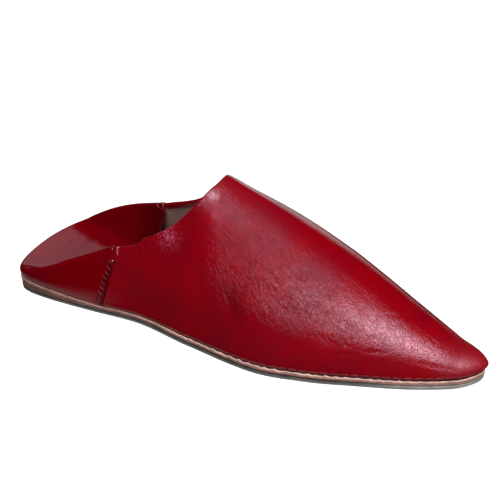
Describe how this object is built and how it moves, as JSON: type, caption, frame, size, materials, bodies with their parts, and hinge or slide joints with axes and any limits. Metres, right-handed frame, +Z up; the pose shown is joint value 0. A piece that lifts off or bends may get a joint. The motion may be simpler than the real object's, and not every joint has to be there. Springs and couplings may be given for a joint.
{
  "type": "slipper",
  "caption": "Pointed flat leather slipper with an open throat and a heel folded down inside, on a thin layered sole.",
  "frame": {"origin": "middle of the outline at floor level, under the outsole", "axes": "+X from the heel to the toe, +Y to the wearer's left, +Z up"},
  "size_m": [0.2806, 0.0882, 0.0852],
  "materials": {
    "outsole": "dark grey hard sole with a dull worn edge",
    "heel_lift": "stacked brown leather edge",
    "midsole": "raw tan leather edge",
    "insole": "matt grey-beige lining leather",
    "vamp": "smooth glossy red leather with fine grain",
    "heel_quarter": "smooth glossy red leather",
    "side_seam_right": "dark red seam band",
    "side_seam_left": "dark red seam band"
  },
  "bodies": {
    "root": {"outsole": "outsole", "heel_lift": "heel_lift", "midsole": "midsole", "insole": "insole", "vamp": "vamp", "heel_quarter": "heel_quarter", "side_seam_right": "side_seam_right", "side_seam_left": "side_seam_left"}
  },
  "joints": []
}
